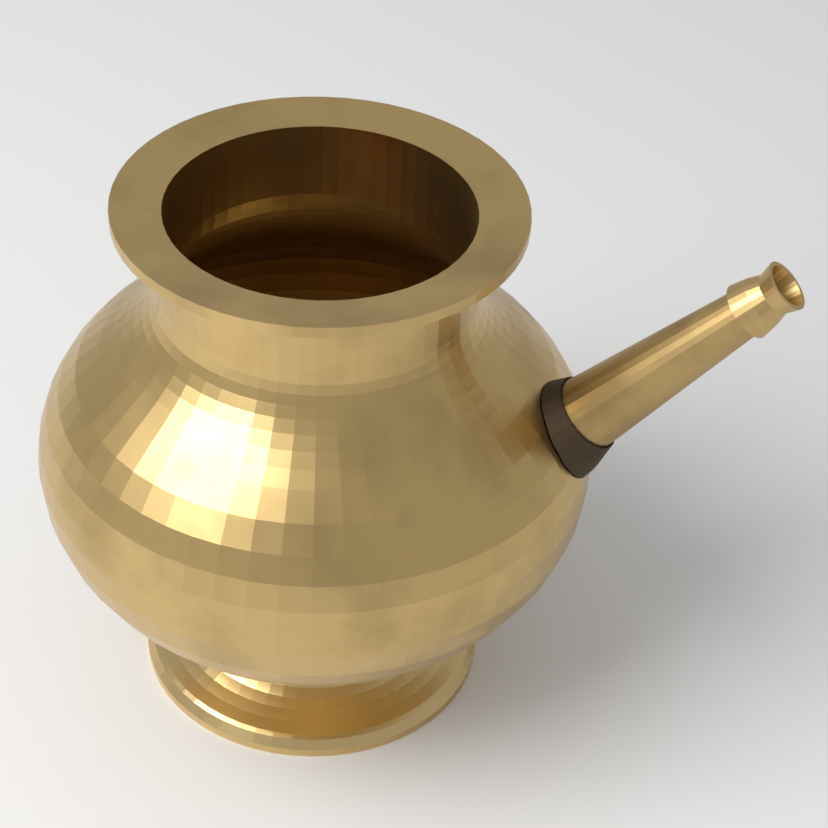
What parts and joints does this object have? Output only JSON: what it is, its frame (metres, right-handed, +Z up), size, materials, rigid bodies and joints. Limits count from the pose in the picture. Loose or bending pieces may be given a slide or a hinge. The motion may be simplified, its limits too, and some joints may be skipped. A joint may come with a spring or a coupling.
{
  "type": "spouted water pot",
  "caption": "Brass spouted water pot with a round belly, wide flat rim, flared foot and a straight tapered spout.",
  "frame": {"origin": "centre of the whole object on the surface it stands on", "axes": "+Z up along the pot axis, +X towards the spout"},
  "size_m": [0.1704, 0.1296, 0.131],
  "materials": {
    "brass": "satin to polished",
    "solder": "dull tarnish"
  },
  "bodies": {
    "root": {"upper_shell": "brass", "lower_shell": "brass", "foot": "brass", "spout_tube": "brass", "spout_solder": "solder", "spout_ferrule": "brass"}
  },
  "joints": []
}
